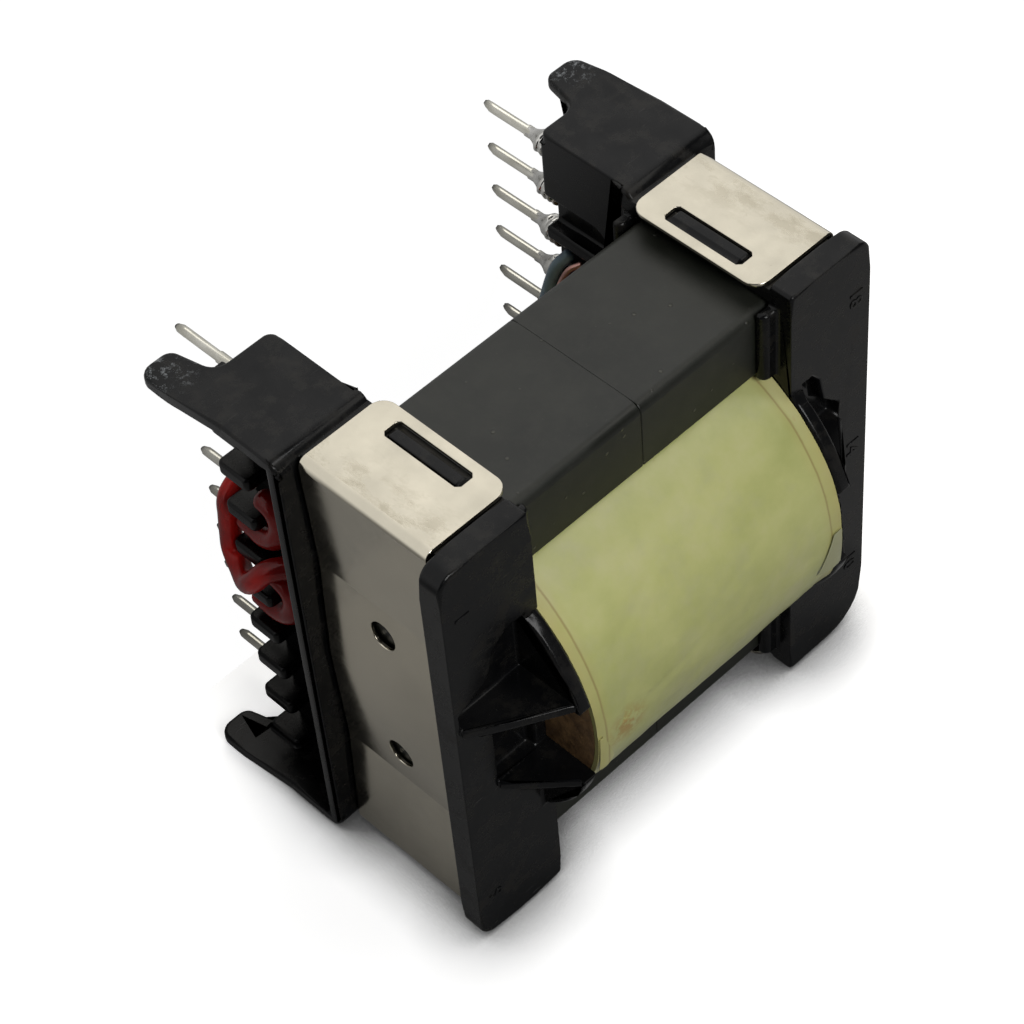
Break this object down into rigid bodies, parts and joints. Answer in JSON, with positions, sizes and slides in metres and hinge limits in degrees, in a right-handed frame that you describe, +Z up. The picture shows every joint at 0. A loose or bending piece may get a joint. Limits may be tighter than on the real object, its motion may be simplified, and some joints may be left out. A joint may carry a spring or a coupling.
{
  "type": "board-mounted power transformer",
  "caption": "Board-mounted power transformer: E core halves with a round centre post in a moulded coil former, spring clips, taped coil and two rows of pins",
  "frame": {"origin": "centre of the two rows of pins, on the upper face of the board the part stands on", "axes": "X runs along the coil axis, towards the row of pins 10 to 18; Y runs along the rows of pins, towards pins 1 and 18; Z is up, away from the board"},
  "size_m": [0.0506, 0.049, 0.0442],
  "materials": {
    "former": "black glass-filled moulding, half gloss",
    "ferrite": "sintered ferrite, dark olive grey, matt",
    "clip": "rolled stainless spring strip",
    "tin": "hot-tinned wire pins",
    "copper": "enamelled copper wire",
    "inner_tape": "thin polyester tape",
    "margin_tape": "woven margin tape soaked in varnish",
    "outer_tape": "pale yellow polyester tape, wrinkled",
    "red_lead": "glossy red insulation",
    "sleeve": "blue-grey sleeve",
    "solder": "bright solder over wound leads"
  },
  "bodies": {
    "root": {"coil_former": "former", "core_half_left": "ferrite", "core_half_right": "ferrite", "clip_left": "clip", "clip_right": "clip", "pin_01": "tin", "pin_02": "tin", "pin_03": "tin", "pin_04": "tin", "pin_05": "tin", "pin_06": "tin", "pin_07": "tin", "pin_08": "tin", "pin_09": "tin", "pin_10": "tin", "pin_11": "tin", "pin_12": "tin", "pin_13": "tin", "pin_14": "tin", "pin_15": "tin", "pin_16": "tin", "pin_17": "tin", "pin_18": "tin", "inner_winding": "copper", "inner_tape": "inner_tape", "outer_winding": "copper", "barrier_tape": "inner_tape", "margin_tape_left": "margin_tape", "margin_tape_right": "margin_tape", "outer_tape": "outer_tape", "red_lead_upper": "red_lead", "red_lead_lower": "red_lead", "sleeved_lead": "sleeve", "enamelled_leads": "copper", "solder_joints": "solder"}
  },
  "joints": []
}
